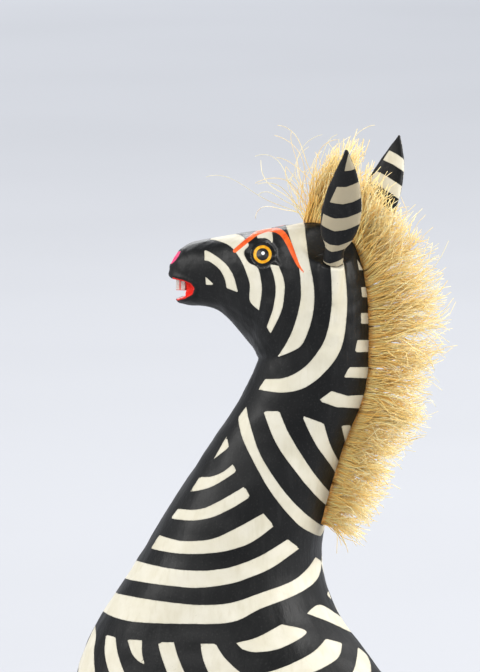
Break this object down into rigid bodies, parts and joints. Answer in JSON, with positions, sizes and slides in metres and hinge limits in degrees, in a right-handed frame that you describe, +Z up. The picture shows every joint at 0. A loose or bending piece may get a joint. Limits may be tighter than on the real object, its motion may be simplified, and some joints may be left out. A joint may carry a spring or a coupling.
{
  "type": "carved animal figure",
  "caption": "Seated carved wooden zebra figure painted black with cream stripes, with plug-in ears and tail and a glued agave fibre mane.",
  "frame": {"origin": "centre of the bounding box on the ground, under the seated figure", "axes": "+X towards the tail, the nose points to -X; +Y is the figure's right side; +Z up"},
  "size_m": [0.1751, 0.106, 0.2852],
  "materials": {
    "painted_wood": "brushed black acrylic paint with cream stripes, satin",
    "painted_teeth": "painted white, satin",
    "bare_wood": "bare pale copal wood, sanded",
    "agave_fibre": "combed natural agave fibre, matte"
  },
  "bodies": {
    "figure": {"torso": "painted_wood", "head": "painted_wood", "neck_dowel": "bare_wood", "left_foreleg": "painted_wood", "right_foreleg": "painted_wood", "foreleg_dowels": "bare_wood", "left_hindleg": "painted_wood", "right_hindleg": "painted_wood", "hindleg_dowels": "bare_wood", "upper_teeth": "painted_teeth", "mane_01": "agave_fibre", "mane_02": "agave_fibre", "mane_03": "agave_fibre", "mane_04": "agave_fibre", "mane_05": "agave_fibre", "mane_06": "agave_fibre", "mane_07": "agave_fibre", "mane_08": "agave_fibre", "mane_09": "agave_fibre", "mane_10": "agave_fibre", "mane_11": "agave_fibre", "mane_12": "agave_fibre", "mane_13": "agave_fibre", "mane_14": "agave_fibre", "mane_15": "agave_fibre", "mane_16": "agave_fibre", "mane_17": "agave_fibre", "mane_18": "agave_fibre", "mane_19": "agave_fibre", "mane_20": "agave_fibre"},
    "left_ear_peg": {"left_ear_peg": "bare_wood"},
    "left_ear": {"left_ear": "painted_wood"},
    "right_ear_peg": {"right_ear_peg": "bare_wood"},
    "right_ear": {"right_ear": "painted_wood"},
    "tail_peg": {"tail_peg": "bare_wood"},
    "tail": {"tail": "painted_wood", "tail_tuft": "agave_fibre"}
  },
  "joints": [
    {"name": "left_ear_turn", "type": "hinge", "parent": "figure", "child": "left_ear_peg", "pos_m": [-0.00394, -0.012, 0.2492], "axis": [0.2385, -0.2677, 0.9335], "range_deg": [-35, 35]},
    {"name": "left_ear_pull", "type": "slide", "parent": "left_ear_peg", "child": "left_ear", "axis": [0.2385, -0.2677, 0.9335], "range_m": [0, 0.009]},
    {"name": "right_ear_turn", "type": "hinge", "parent": "figure", "child": "right_ear_peg", "pos_m": [-0.00394, 0.012, 0.2492], "axis": [0.2385, 0.2677, 0.9335], "range_deg": [-35, 35]},
    {"name": "right_ear_pull", "type": "slide", "parent": "right_ear_peg", "child": "right_ear", "axis": [0.2385, 0.2677, 0.9335], "range_m": [0, 0.009]},
    {"name": "tail_turn", "type": "hinge", "parent": "figure", "child": "tail_peg", "pos_m": [0.04836, 0, 0.041], "axis": [0.829, 0, -0.5592], "range_deg": [-30, 30]},
    {"name": "tail_pull", "type": "slide", "parent": "tail_peg", "child": "tail", "axis": [0.829, 0, -0.5592], "range_m": [0, 0.009]}
  ]
}
